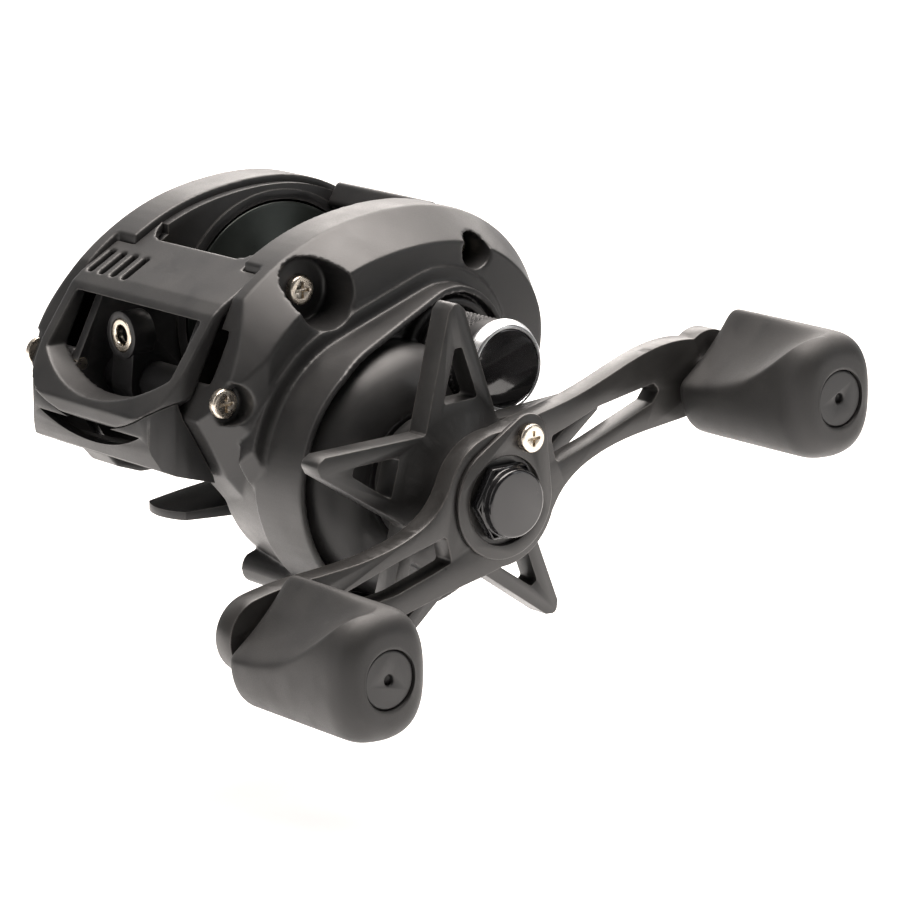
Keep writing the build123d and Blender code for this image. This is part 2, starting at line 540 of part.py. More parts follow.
def spool_shaft_node():
    shaft = disc(SPOOL_X, SPOOL_Z, SPOOL_SHAFT_R, -27.2, 41.8)
    hole = Pos(SPOOL_X, SPOOL_PIN_Y, SPOOL_Z) * Rot(0, 90, 0) * Cylinder(SPOOL_PIN_R, 4)
    return shaft - hole


def spool_pin_node():
    return Pos(SPOOL_X, SPOOL_PIN_Y, SPOOL_Z) * Rot(0, 90, 0) * Cylinder(SPOOL_PIN_R, 2 * SPOOL_PIN_HALF)


def brake_rotor_node():
    """Thin drag cup the magnets act on."""
    profile = [(3.0, -5.0), (7.4, -5.0), (7.4, -17.4), (6.7, -17.4), (6.7, -5.7), (3.0, -5.7)]
    return turned(SPOOL_X, SPOOL_Z, profile)


# ---------------------------------------------------------------- clutch
def mesh_phase(x, z, teeth, other_x, other_z):
    """Turn a gear so that a gap faces the other gear's axis."""
    toward = math.degrees(math.atan2(other_z - z, other_x - x))
    return toward + 180 / teeth


def tooth_phase(x, z, other_x, other_z):
    """Turn a gear so that a tooth faces the other gear's axis."""
    return math.degrees(math.atan2(other_z - z, other_x - x))


def pinion_node():
    phase = tooth_phase(SPOOL_X, SPOOL_Z, DRIVE_X, DRIVE_Z)
    body = gear(SPOOL_X, SPOOL_Z, PINION_TEETH, MAIN_MODULE, PINION_BORE, GROOVE_OUT, PINION_OUT, phase)
    body += ring(SPOOL_X, SPOOL_Z, PINION_COLLAR_R, PINION_BORE, GROOVE_OUT, GROOVE_OUT + 0.8)
    body += ring(SPOOL_X, SPOOL_Z, GROOVE_R, PINION_BORE, GROOVE_IN, GROOVE_OUT)
    body += ring(SPOOL_X, SPOOL_Z, PINION_COLLAR_R, PINION_BORE, PINION_IN, GROOVE_IN)
    slot_half = SPOOL_PIN_R + 0.15
    return body - box(SPOOL_X - 4, SPOOL_X + 4, PINION_IN - 1, SPOOL_PIN_Y + slot_half,
                      SPOOL_Z - slot_half, SPOOL_Z + slot_half)


def yoke_node():
    """Fork that lifts the pinion, sliding on two posts."""
    (x0, z0), (x1, z1) = post_points()
    face = hull_face(x0, z0, 2.4, x1, z1, 2.4001) + Pos(SPOOL_X, SPOOL_Z) * Circle(5.0)
    face -= Pos(SPOOL_X, SPOOL_Z) * Circle(GROOVE_R + 0.15)
    ux, uz = polar(0, 0, 1, math.degrees(math.atan2(SPOOL_Z - DRIVE_Z, SPOOL_X - DRIVE_X)))
    angle = math.degrees(math.atan2(uz, ux)) - 90
    mouth = Pos(SPOOL_X - ux * 4, SPOOL_Z - uz * 4) * Rot(0, 0, angle) * Rectangle(2 * GROOVE_R + 0.3, 8)
    face -= mouth
    for x, z in ((x0, z0), (x1, z1)):
        face -= Pos(x, z) * Circle(POST_R + RUN)
    return slab(face, YOKE_Y0, YOKE_Y1)


def yoke_posts():
    return [disc(x, z, POST_R, PLATE_IN, POST_TOP) + disc(x, z, POST_R + 0.9, POST_TOP, POST_TOP + 0.8)
            for x, z in post_points()]


def yoke_springs():
    """Return springs on the posts, as sleeves with one ridge for each coil."""
    coils, wire = 6, 0.5
    r_in, r_out = POST_R + 0.3, POST_R + 0.3 + wire
    pitch = (POST_TOP - YOKE_Y1) / coils
    out = []
    for x, z in post_points():
        profile = [(r_in, POST_TOP), (r_in, YOKE_Y1), (r_in + 0.2, YOKE_Y1)]
        for k in range(coils):
            profile.append((r_out, YOKE_Y1 + (k + 0.5) * pitch))
            profile.append((r_in + 0.2, YOKE_Y1 + (k + 1) * pitch))
        out.append(turned(x, z, profile))
    return out


def thumb_bar_node():
    """Curved thumb bar between the side plates, with the pin that works the clutch."""
    pad = slab(sector(SPOOL_X, SPOOL_Z, 23.6, 19.2, 122, 158), -12.3, 12.3)
    pad = fillet(pad.edges().filter_by(Axis.Y), 0.8)
    px, pz = thumb_pin()
    return pad + disc(px, pz, 1.2, 12.0, 14.9)


def clutch_cam_node():
    """Cam plate driven by the thumb bar's pin; its slot slides past the spool shaft."""
    px, pz = thumb_pin()
    ux, uz = polar(0, 0, 1, THUMB_SLIDE_ANGLE)
    x0, z0 = SPOOL_X - ux * THUMB_TRAVEL, SPOOL_Z - uz * THUMB_TRAVEL
    face = hull_face(px, pz, 1.7, x0, z0, 3.2) + slot_face(x0, z0, 3.2, THUMB_SLIDE_ANGLE, THUMB_TRAVEL)
    face -= slot_face(x0, z0, 1.7, THUMB_SLIDE_ANGLE, THUMB_TRAVEL)
    return slab(face, PLATE_OUT + 0.3, PLATE_OUT + 1.2)


# ---------------------------------------------------------------- drive train
def drive_shaft_node():
    """Stepped drive shaft: inner journal, main-gear flange, long outer stem."""
    return turned(DRIVE_X, DRIVE_Z, [(0, 12.9), (2.45, 12.9), (2.45, 15.4), (SHAFT_R, 15.4),
                                     (SHAFT_R, 22.8), (8.0, 22.8), (8.0, MAIN_Y0), (SHAFT_R, MAIN_Y0),
                                     (SHAFT_R, NUT_IN), (2.4, NUT_IN), (2.4, 63.2), (0, 63.2)])


def level_drive_gear_node():
    phase = mesh_phase(DRIVE_X, DRIVE_Z, LEVEL_DRIVE_TEETH, WORM_X, WORM_Z)
    body = gear(DRIVE_X, DRIVE_Z, LEVEL_DRIVE_TEETH, LEVEL_MODULE, SHAFT_R, LEVEL_Y0, LEVEL_Y1, phase)
    for k in range(6):
        x, z = polar(DRIVE_X, DRIVE_Z, 9.3, k * 60)
        body -= disc(x, z, 3.0, LEVEL_Y0, LEVEL_Y1)
    return body


def worm_gear_node():
    phase = tooth_phase(WORM_X, WORM_Z, DRIVE_X, DRIVE_Z)
    return gear(WORM_X, WORM_Z, LEVEL_TEETH, LEVEL_MODULE, 1.5, LEVEL_Y0, LEVEL_Y1, phase)


def ratchet_node():
    """Anti-reverse ratchet with hooked teeth."""
    pts = []
    for k in range(20):
        pts.append(polar(0, 0, 9.6, k * 18))
        pts.append(polar(0, 0, 8.2, k * 18 + 15))
    face = Pos(DRIVE_X, DRIVE_Z) * (make_face(Polyline(*pts, close=True)) - Circle(SHAFT_R))
    return slab(face, 21.4, 22.6)


def main_gear_node():
    """Main gear with a recess for the drag stack."""
    phase = mesh_phase(DRIVE_X, DRIVE_Z, MAIN_TEETH, SPOOL_X, SPOOL_Z)
    body = gear(DRIVE_X, DRIVE_Z, MAIN_TEETH, MAIN_MODULE, SHAFT_R + RUN, MAIN_Y0, MAIN_Y1, phase)
    return body - disc(DRIVE_X, DRIVE_Z, DRAG_R + 0.3, MAIN_Y0 + 0.9, MAIN_Y1)


def drag_layer(k, t=DRAG_T):
    """Washer number k of the drag stack, in the main gear's recess."""
    y = MAIN_Y0 + 0.9 + k * DRAG_T
    return ring(DRIVE_X, DRIVE_Z, DRAG_R, SHAFT_R + RUN, y, y + t)


def drag_springs():
    """Two cupped spring washers, back to back."""
    y, rise, t = 28.0, 0.25, 0.4
    out = []
    for k, way in ((0, 1), (1, -1)):
        base = y + k * (t + rise)
        lo, hi = (base, base + rise) if way > 0 else (base + rise, base)
        out.append(turned(DRIVE_X, DRIVE_Z, [(3.1, hi), (6.0, lo), (6.0, lo + t), (3.1, hi + t)]))
    return out


def star_node():
    """Star drag wheel: collar, five open arms and a raised centre."""
    start, front = COLLAR_Y + 0.5, STAR_Y + STAR_T
    hub = turned(DRIVE_X, DRIVE_Z, [(5.0, start), (10.2, start), (10.4, 45.5), (STAR_HUB_R, STAR_Y + 0.6),
                                    (STAR_HUB_R, front), (8.6, 53.0), (7.2, 54.0), (3.3, 54.0),
                                    (3.3, 50.0), (5.0, 50.0)])
    near, tip_w = STAR_TIP_R - 1.6, 1.5
    arm = make_face(Polyline((8.0, -7.4), (near, -tip_w), (STAR_TIP_R - 0.2, 0), (near, tip_w),
                             (8.0, 7.4), close=True))
    tip = [v for v in arm.vertices() if v.X > STAR_TIP_R - 1]
    arm = fillet(tip, 1.0)
    hole = make_face(Polyline((13.6, -3.3), (21.8, -0.7), (21.8, 0.7), (13.6, 3.3), close=True))
    arm -= fillet(hole.vertices(), 0.5)
    wheel = None
    for k in range(STAR_ARMS):
        piece = Pos(DRIVE_X, DRIVE_Z) * Rot(0, 0, STAR_ANGLE + 72 * k) * arm
        wheel = piece if wheel is None else wheel + piece
    arms = slab(wheel, STAR_Y, front) - disc(DRIVE_X, DRIVE_Z, STAR_HUB_R - 1, STAR_Y, front)
    return hub + arms


def star_nut_node():
    face = Pos(DRIVE_X, DRIVE_Z) * (RegularPolygon(4.95, 6) - Circle(SHAFT_R + RUN))
    return slab(face, 44.2, 49.8)


# ---------------------------------------------------------------- handle
def handle_half():
    """Half of the S-shaped arm outline, hub to knob end, about the drive axis."""
    kx, kz = polar(0, 0, KNOB_R, 180 + KNOB_ANGLE)
    a_top, a_end, a_low = 56, 150, 256
    start, finish = polar(kx, kz, KNOB_END_R, a_top), polar(kx, kz, KNOB_END_R, a_low)
    top = Spline((6.0, 8.0), (0.0, 10.4), (-10.0, 12.6), (-19.0, 15.0), (-29.0, 18.2), start)
    end = ThreePointArc(start, polar(kx, kz, KNOB_END_R, a_end), finish)
    low = Spline(finish, (-29.0, 6.0), (-19.2, 4.0), (-11.6, -0.6), (-8.4, -5.6), (-6.0, -8.0))
    return make_face(top + end + low + Line((-6.0, -8.0), (6.0, 8.0)))


def handle_window():
    """Long tapering window in one side of the arm."""
    face = make_face(Polyline((-9.6, 8.2), (-10.6, 4.0), (-18.5, 6.2), (-30.5, 10.2), (-32.0, 12.0),
                              (-30.8, 13.2), (-19.5, 11.4), close=True))
    return fillet(face.vertices(), 0.7)


def knob_centres():
    return [polar(DRIVE_X, DRIVE_Z, KNOB_R, KNOB_ANGLE + half_turn) for half_turn in (0, 180)]


def arm_bow(y):
    """Outer face of the bowed arm: flat at the hub, swept towards the reel at both ends."""
    reach, flat = KNOB_R + 9, 13.0
    return [(-reach, y - ARM_SWEEP), (-flat, y), (flat, y), (reach, y - ARM_SWEEP)]


def handle_arm_node():
    half = handle_half()
    face = half + Rot(0, 0, 180) * half + Circle(HUB_R)
    window = handle_window()
    face = face - window - Rot(0, 0, 180) * window
    blank = slab(Pos(DRIVE_X, DRIVE_Z) * face, ARM_Y - 4, ARM_Y + ARM_T + 1)
    outer, inner = arm_bow(ARM_Y + ARM_T), arm_bow(ARM_Y)
    bow = make_face(Polyline(*outer, *reversed(inner), close=True))
    sweep_block = Pos(DRIVE_X, 0, DRIVE_Z - 40) * extrude(bow, amount=80)
    body = blank & sweep_block
    body -= disc(DRIVE_X, DRIVE_Z, SHAFT_R, ARM_Y - 1, ARM_Y + ARM_T + 1)
    for x, z in knob_centres():
        body -= disc(x, z, 1.6, ARM_Y - 5, ARM_Y + ARM_T + 1)
    sx, sz = retainer_screw_at()
    body -= disc(sx, sz, SCREW_R, ARM_Y - 1, ARM_Y + ARM_T + 1)
    return body


def retainer_screw_at():
    return DRIVE_X - 4.5, DRIVE_Z + 9.0


def nut_retainer_node():
    sx, sz = retainer_screw_at()
    face = hull_face(DRIVE_X, DRIVE_Z, 9.0, sx, sz, 3.6) - Pos(DRIVE_X, DRIVE_Z) * Circle(NUT_HEX_R + 0.5)
    face -= Pos(sx, sz) * Circle(SCREW_R)
    return slab(face, ARM_Y + ARM_T, ARM_Y + ARM_T + 0.9)


def handle_nut_node():
    skirt = slab(Pos(DRIVE_X, DRIVE_Z) * RegularPolygon(NUT_HEX_R, 6), NUT_IN, 62.6)
    cap = disc(DRIVE_X, DRIVE_Z, NUT_CAP_R, 62.6, NUT_TOP)
    cap = fillet(cap.faces().sort_by(Axis.Y)[-1].edges(), 0.5)
    return skirt + cap - disc(DRIVE_X, DRIVE_Z, 2.4, NUT_IN, 63.2)


def knob_shafts():
    """Riveted knob spindles."""
    profile = [(0, 53.5), (1.6, 53.5), (1.6, 59.1), (PIN_R, 59.1), (PIN_R, 85.4), (0, 85.4)]
    return [turned(x, z, profile) for x, z in knob_centres()]


def knob_blank(x, z):
    """Oval barrel grip, cut to a flat-sided wedge towards the arm and rounded at the outer end."""
    barrel = slab(Pos(x, z) * Ellipse(KNOB_HALF_W, KNOB_HALF_H), KNOB_IN, KNOB_OUT)
    barrel = fillet(barrel.faces().sort_by(Axis.Y)[-1].edges(), KNOB_NOSE_R)
    low, high = KNOB_NECK_H, KNOB_HALF_H + 0.2
    end = KNOB_OUT + 0.1
    side = make_face(Polyline((KNOB_IN, -low), (KNOB_IN, low), (KNOB_FLAT_END, high), (end, high),
                              (end, -high), (KNOB_FLAT_END, -high), close=True))
    across = Plane(origin=(0, 0, 0), x_dir=(0, 1, 0), z_dir=(1, 0, 0))
    wedge = extrude(across * side, amount=KNOB_HALF_H + 2, both=True)
    return barrel & (Pos(x, 0, z) * Rot(0, KNOB_TWIST, 0) * wedge)


def bush_spans():
    return [(KNOB_IN, KNOB_IN + 2.2), (83.0, 85.2)]


def knob_node(x, z):
    body = knob_blank(x, z) - disc(x, z, PIN_R + 0.3, KNOB_IN - 1, 87.0)
    for y0, y1 in bush_spans():
        body -= disc(x, z, BUSH_R, y0, y1)
    return body - disc(x, z, KNOB_CAP_R + 0.1, 86.6, KNOB_OUT + 1)


def knob_bushes(x, z):
    return [ring(x, z, BUSH_R, PIN_R + RUN, y0, y1) for y0, y1 in bush_spans()]


def knob_cap_node(x, z):
    cap = disc(x, z, KNOB_CAP_R, 86.6, 88.0)
    return fillet(cap.faces().sort_by(Axis.Y)[-1].edges(), 0.4) - disc(x, z, 0.8, 87.0, 89.0)


# ---------------------------------------------------------------- tension control
def tension_cap_node():
    skirt = ring(SPOOL_X, SPOOL_Z, CAP_R, BOSS_OUT + 0.15, CAP_IN, 43.0)
    return skirt + disc(SPOOL_X, SPOOL_Z, CAP_R, 43.0, CAP_OUT)


def tension_ring_node():
    return turned(SPOOL_X, SPOOL_Z, [(6.1, CAP_OUT), (7.4, CAP_OUT), (7.4, 45.1), (6.6, 46.7), (6.1, 46.7)])


def tension_inlay_node():
    inlay = disc(SPOOL_X, SPOOL_Z, 6.1, CAP_OUT, 46.5)
    return fillet(inlay.faces().sort_by(Axis.Y)[-1].edges(), 0.3)


# ---------------------------------------------------------------- levelwind
def worm_shield_node():
    tube = ring(WORM_X, WORM_Z, TUBE_R, TUBE_BORE, -PLATE_OUT, PLATE_OUT)
    return tube - box(WORM_X - 1.35, WORM_X + 1.35, -12.3, 12.3, WORM_Z - 5, WORM_Z - 1.5)


def worm_shaft_node():
    return turned(WORM_X, WORM_Z, [(0, -14.5), (1.5, -14.5), (1.5, -12.4), (2.3, -12.4), (2.3, 12.4),
                                   (1.5, 12.4), (1.5, 18.8), (0, 18.8)])


def line_guide_node():
    """Carriage that rides on the worm shield and carries the line ring."""
    y0, y1 = GUIDE_Y - GUIDE_HALF, GUIDE_Y + GUIDE_HALF
    body = slab(hull_face(WORM_X, WORM_Z, 4.9, RING_X - 2.2, RING_Z - 2.2, 2.4), y0, y1)
    body += Pos((27.4 + 31.4) / 2, GUIDE_Y, RING_Z) * Rot(0, 90, 0) * Cylinder(3.8, 4.0)
    body += Pos(WORM_X, GUIDE_Y, 15.6) * Cylinder(2.4, 3.6)
    body -= disc(WORM_X, WORM_Z, TUBE_R + RUN, y0 - 2, y1 + 2)
    body -= Pos(WORM_X, GUIDE_Y, 14.7) * Cylinder(1.6, 2.0)
    body -= Pos(WORM_X, GUIDE_Y, 16.7) * Cylinder(1.05, 3.0)
    body -= Pos(29, GUIDE_Y, RING_Z) * Rot(0, 90, 0) * Cylinder(RING_BORE + 0.2, 12)
    return body - Pos(RING_X, GUIDE_Y, RING_Z) * Rot(0, 90, 0) * Cylinder(RING_OUT, 1.4)


def guide_ring_node():
    """Hard line ring with a rounded mouth."""
    tube = Cylinder(RING_OUT, 1.4) - Cylinder(RING_BORE, 1.4)
    body = Pos(RING_X, GUIDE_Y, RING_Z) * Rot(0, 90, 0) * tube
    mouth = body.edges().filter_by(GeomType.CIRCLE).group_by(Axis.X)[-1]
    return fillet(mouth, 0.35)


def pawl_node():
    return Pos(WORM_X, GUIDE_Y, (15.8 + 18.15) / 2) * Cylinder(1.0, 18.15 - 15.8)


def pawl_cap_node():
    return Pos(WORM_X, GUIDE_Y, 14.6) * Cylinder(1.6, 1.8) - Pos(WORM_X, GUIDE_Y, 13.9) * Box(2.4, 0.5, 1.0)


# ---------------------------------------------------------------- write every node
def write_body():
    node("frame", frame_node())
    node("reel_foot", foot_node())
    node("foot_screws", *foot_screws())
    node("front_hood", hood_node())
    node("gear_side_cover", gear_cover_node())
    node("gear_cover_screws", *cover_screws(1, GEAR_SCREWS))
    node("palm_side_cover", palm_cover_node())
    node("palm_cover_screws", *cover_screws(-1, PALM_SCREWS))
    node("guide_bar", disc(GUIDE_BAR_X, GUIDE_BAR_Z, GUIDE_BAR_R, -PLATE_OUT, PLATE_OUT))
    node("spool_bearings", bearing(SPOOL_X, SPOOL_Z, PALM_BEARING_R, SPOOL_SHAFT_R + RUN, -27.7, -25.3),
         bearing(SPOOL_X, SPOOL_Z, BOSS_IN, SPOOL_SHAFT_R + RUN, 36.0, 38.5))
    node("drive_shaft_bearing", bearing(DRIVE_X, DRIVE_Z, BEARING_R, 2.5, PLATE_IN, PLATE_OUT))
    node("anti_reverse_bearing", bearing(DRIVE_X, DRIVE_Z, NECK_BORE, SLEEVE_OUT + RUN, 31.0, 39.5))
    node("worm_shield", worm_shield_node())
    node("worm_bushings", *(ring(WORM_X, WORM_Z, TUBE_BORE, 1.5 + RUN, y, y + 1.8) for y in (-14.6, 12.8)))
    node("yoke_posts", *yoke_posts())
    node("yoke_springs", *yoke_springs())


def write_spool_and_brake():
    node("spool", spool_node())
    node("spool_shaft", spool_shaft_node())
    node("spool_pin", spool_pin_node())
    node("brake_rotor", brake_rotor_node())
    node("brake_dial", brake_dial_node())
    node("magnet_holder", magnet_holder_node())
    node("magnets", *magnets())
    node("tension_cap", tension_cap_node())
    node("tension_ring", tension_ring_node())
    node("tension_inlay", tension_inlay_node())
    node("tension_shim", disc(SPOOL_X, SPOOL_Z, 3.0, 42.3, 43.0))


def write_drive():
    node("drive_shaft", drive_shaft_node())
    node("levelwind_drive_gear", level_drive_gear_node())
    node("ratchet", ratchet_node())
    node("main_gear", main_gear_node())
    node("drag_washers", drag_layer(0), drag_layer(2))
    node("drag_metal_washers", drag_layer(1), drag_layer(3, t=1.1))
    node("drag_springs", *drag_springs())
    node("clutch_sleeve", ring(DRIVE_X, DRIVE_Z, SLEEVE_OUT, SHAFT_R + RUN, 29.6, 43.6))
    node("star_drag", star_node())
    node("star_nut", star_nut_node())
    node("arm_spacer", ring(DRIVE_X, DRIVE_Z, 5.4, SHAFT_R, 54.4, ARM_Y))
    node("pinion_gear", pinion_node())
    node("clutch_yoke", yoke_node())
    node("clutch_cam", clutch_cam_node())
    node("thumb_bar", thumb_bar_node())


def write_handle():
    sx, sz = retainer_screw_at()
    node("handle_arm", handle_arm_node())
    node("handle_nut", handle_nut_node())
    node("nut_retainer", nut_retainer_node())
    node("retainer_screw", screw(sx, sz, ARM_Y + ARM_T + 0.9, 3.6, head_r=2.2))
    node("knob_shafts", *knob_shafts())
    for k, (x, z) in enumerate(knob_centres(), 1):
        node(f"knob_{k}", knob_node(x, z))
        node(f"knob_cap_{k}", knob_cap_node(x, z))
        node(f"knob_bushes_{k}", *knob_bushes(x, z))


def write_levelwind():
    node("worm_shaft", worm_shaft_node())
    node("worm_gear", worm_gear_node())
    node("line_guide", line_guide_node())
    node("guide_ring", guide_ring_node())
    node("pawl", pawl_node())
    node("pawl_cap", pawl_cap_node())


write_body()
write_spool_and_brake()
write_drive()
write_handle()
write_levelwind()
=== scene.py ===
import json
import math

import bmesh
import bpy
import numpy as np
from mathutils import Matrix, Vector, geometry


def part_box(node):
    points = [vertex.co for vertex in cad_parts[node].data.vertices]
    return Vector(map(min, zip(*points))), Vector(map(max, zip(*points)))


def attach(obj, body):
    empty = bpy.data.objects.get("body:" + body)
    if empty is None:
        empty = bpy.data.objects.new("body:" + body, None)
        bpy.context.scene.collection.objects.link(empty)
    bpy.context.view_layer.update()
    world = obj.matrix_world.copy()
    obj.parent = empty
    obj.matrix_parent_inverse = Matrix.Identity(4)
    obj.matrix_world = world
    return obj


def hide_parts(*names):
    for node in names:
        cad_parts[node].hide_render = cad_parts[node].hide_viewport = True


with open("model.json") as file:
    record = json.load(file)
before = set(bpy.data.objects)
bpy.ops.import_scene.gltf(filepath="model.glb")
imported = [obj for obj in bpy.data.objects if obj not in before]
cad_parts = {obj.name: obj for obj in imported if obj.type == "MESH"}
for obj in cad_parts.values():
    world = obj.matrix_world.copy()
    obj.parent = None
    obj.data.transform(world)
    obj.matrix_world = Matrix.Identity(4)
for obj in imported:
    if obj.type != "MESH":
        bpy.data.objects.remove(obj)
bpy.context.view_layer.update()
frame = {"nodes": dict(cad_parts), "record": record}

MM = 0.001
nodes = frame["nodes"]
record = frame["record"]
SLOT_OF = {part["node"]: part["material_slot"] for part in record["subparts"]}
BODY_OF = {node: body for body, members in record["behaviour"]["bodies"].items() for node in members}


# ---------------------------------------------------------------- camera, light and floor
CAMERA_AT = (0.412925, 0.554022, 0.168631)
CAMERA_RIGHT = (-0.78052, 0.62511, -0.00573)
CAMERA_UP = (-0.14751, -0.17526, 0.97341)
CAMERA_BACK = (0.60748, 0.76061, 0.22900)
LENS_MM, SENSOR_MM = 176.37, 36.0


def aim_camera():
    """A long lens from the rod-tip side, a little above the reel."""
    data = bpy.data.cameras.new("camera")
    data.lens = LENS_MM
    data.sensor_width = SENSOR_MM
    data.clip_start, data.clip_end = 0.01, 20.0
    camera = bpy.data.objects.new("camera", data)
    turn = Matrix((CAMERA_RIGHT, CAMERA_UP, CAMERA_BACK)).transposed().to_4x4()
    camera.matrix_world = Matrix.Translation(CAMERA_AT) @ turn
    bpy.context.scene.collection.objects.link(camera)
    bpy.context.scene.camera = camera


LIT_POINT = (0.01, 0.03, 0.02)
WARM, PALE, WHITE = (1.0, 0.93, 0.88), (1.0, 0.96, 0.93), (1.0, 1.0, 1.0)
SOFT_BOXES = {                # place, size, watts, tint
    "overhead": ((-0.05, -0.02, 0.55), (0.50, 0.50), 8.6, WARM),
    "behind": ((-0.60, -0.55, 0.50), (0.7, 0.5), 6.0, WARM),
    "left_strip": ((0.62, -0.10, 0.30), (0.16, 0.6), 0.75, PALE),
    "right_strip": ((-0.40, 0.52, 0.26), (0.14, 0.6), 0.55, WHITE),
}
SKY_COLOUR, SKY_STRENGTH = (1.0, 0.99, 0.98, 1), 0.10


def soft_box(name, place, size, watts, tint):
    """An area light turned towards the reel."""
    data = bpy.data.lights.new(name, "AREA")
    data.shape = "RECTANGLE"
    data.size, data.size_y = size
    data.energy = watts
    data.color = tint
    light = bpy.data.objects.new(name, data)
    direction = Vector(LIT_POINT) - Vector(place)
    light.matrix_world = Matrix.Translation(place) @ direction.to_track_quat("-Z", "Y").to_matrix().to_4x4()
    bpy.context.scene.collection.objects.link(light)


def light_studio():
    for name, settings in SOFT_BOXES.items():
        soft_box(name, *settings)
    world = bpy.data.worlds.new("studio")
    world.use_nodes = True
    sky = world.node_tree.nodes["Background"]
    sky.inputs["Color"].default_value = SKY_COLOUR
    sky.inputs["Strength"].default_value = SKY_STRENGTH
    bpy.context.scene.world = world
    bpy.context.scene.view_settings.view_transform = "Standard"


FLOOR_Z = -0.047              # just under the lowest reach of the turning handle
FLOOR_HALF, FLOOR_NEAR, FLOOR_FAR = 2.0, -1.6, 0.9
SWEEP_R, SWEEP_HEIGHT, SWEEP_STEPS = 0.5, 1.6, 13


def lay_floor():
    """Pale sweep: a flat floor under the handle's lowest reach, curving up behind the reel."""
    away = Vector((-0.62, -0.78, 0)).normalized()
    side = Vector((away.y, -away.x, 0))
    profile = [(FLOOR_NEAR, 0.0), (FLOOR_FAR, 0.0)]
    profile += [(FLOOR_FAR + SWEEP_R * math.sin(a), SWEEP_R * (1 - math.cos(a)))
                for a in np.linspace(0, math.pi / 2, SWEEP_STEPS)[1:]]
    profile.append((FLOOR_FAR + SWEEP_R, SWEEP_HEIGHT))
    bm = bmesh.new()
    rows = []
    for along, height in profile:
        rows.append([bm.verts.new(away * along + side * s * FLOOR_HALF + Vector((0, 0, FLOOR_Z + height)))
                     for s in (-1, 1)])
    for (a, b), (c, d) in zip(rows, rows[1:]):
        bm.faces.new((a, b, d, c))
    floor = object_of(bm, "floor")
    floor.data.materials.append(paper_material())


# ---------------------------------------------------------------- materials
def add_node(tree, kind, **settings):
    made = tree.nodes.new(kind)
    for key, value in settings.items():
        setattr(made, key, value)
    return made


def noise(tree, place, size_mm, detail):
    """Noise with features of about size_mm, from the frame's own coordinates."""
    made = add_node(tree, "ShaderNodeTexNoise")
    made.inputs["Scale"].default_value = 1 / (size_mm * MM)
    made.inputs["Detail"].default_value = detail
    tree.links.new(place, made.inputs["Vector"])
    return made.outputs["Fac"]


def ranged(tree, value, low, high, start=0.3, end=0.7):
    made = add_node(tree, "ShaderNodeMapRange")
    made.inputs["From Min"].default_value, made.inputs["From Max"].default_value = start, end
    made.inputs["To Min"].default_value, made.inputs["To Max"].default_value = low, high
    tree.links.new(value, made.inputs["Value"])
    return made.outputs["Result"]


def blended(tree, share, first, second):
    """Mix of two colours; each is an RGB tuple or an output."""
    made = add_node(tree, "ShaderNodeMix", data_type="RGBA")
    tree.links.new(share, made.inputs["Factor"])
    for socket, colour in ((made.inputs[6], first), (made.inputs[7], second)):
        if isinstance(colour, tuple):
            socket.default_value = (*colour, 1)
        else:
            tree.links.new(colour, socket)
    return made.outputs[2]


# width in mm of the painted highlight along edges
EDGE_SHEEN_MM = 0.35


def edge_share(tree, place, radius_mm):
    """1 along edges and 0 elsewhere, broken up by noise: the mask of a painted highlight along edges."""
    rounded = add_node(tree, "ShaderNodeBevel", samples=4)
    rounded.inputs["Radius"].default_value = radius_mm * MM
    flat = add_node(tree, "ShaderNodeNewGeometry")
    dot = add_node(tree, "ShaderNodeVectorMath", operation="DOT_PRODUCT")
    tree.links.new(rounded.outputs["Normal"], dot.inputs[0])
    tree.links.new(flat.outputs["Normal"], dot.inputs[1])
    edge = ranged(tree, dot.outputs["Value"], 1.0, 0.0, 0.93, 0.995)
    patch = ranged(tree, noise(tree, place, 1.6, 3), 0.35, 1.0, 0.35, 0.6)
    # painted edge highlight, kept in patches by the noise
    edge_sheen = add_node(tree, "ShaderNodeMath", operation="MULTIPLY")
    tree.links.new(edge, edge_sheen.inputs[0])
    tree.links.new(patch, edge_sheen.inputs[1])
    return edge_sheen.outputs[0]


def turned_rings(tree, place, axis, pitch_mm):
    """Fine circles round an axis along Y, as a lathe leaves them."""
    shift = add_node(tree, "ShaderNodeVectorMath", operation="SUBTRACT")
    shift.inputs[1].default_value = axis
    tree.links.new(place, shift.inputs[0])
    flatten = add_node(tree, "ShaderNodeVectorMath", operation="MULTIPLY")
    flatten.inputs[1].default_value = (1, 0, 1)
    tree.links.new(shift.outputs[0], flatten.inputs[0])
    radius = add_node(tree, "ShaderNodeVectorMath", operation="LENGTH")
    tree.links.new(flatten.outputs[0], radius.inputs[0])
    rings = add_node(tree, "ShaderNodeTexNoise", noise_dimensions="1D")
    rings.inputs["Scale"].default_value = 1 / (pitch_mm * MM)
    rings.inputs["Detail"].default_value = 3
    tree.links.new(radius.outputs["Value"], rings.inputs["W"])
    return rings.outputs["Fac"]


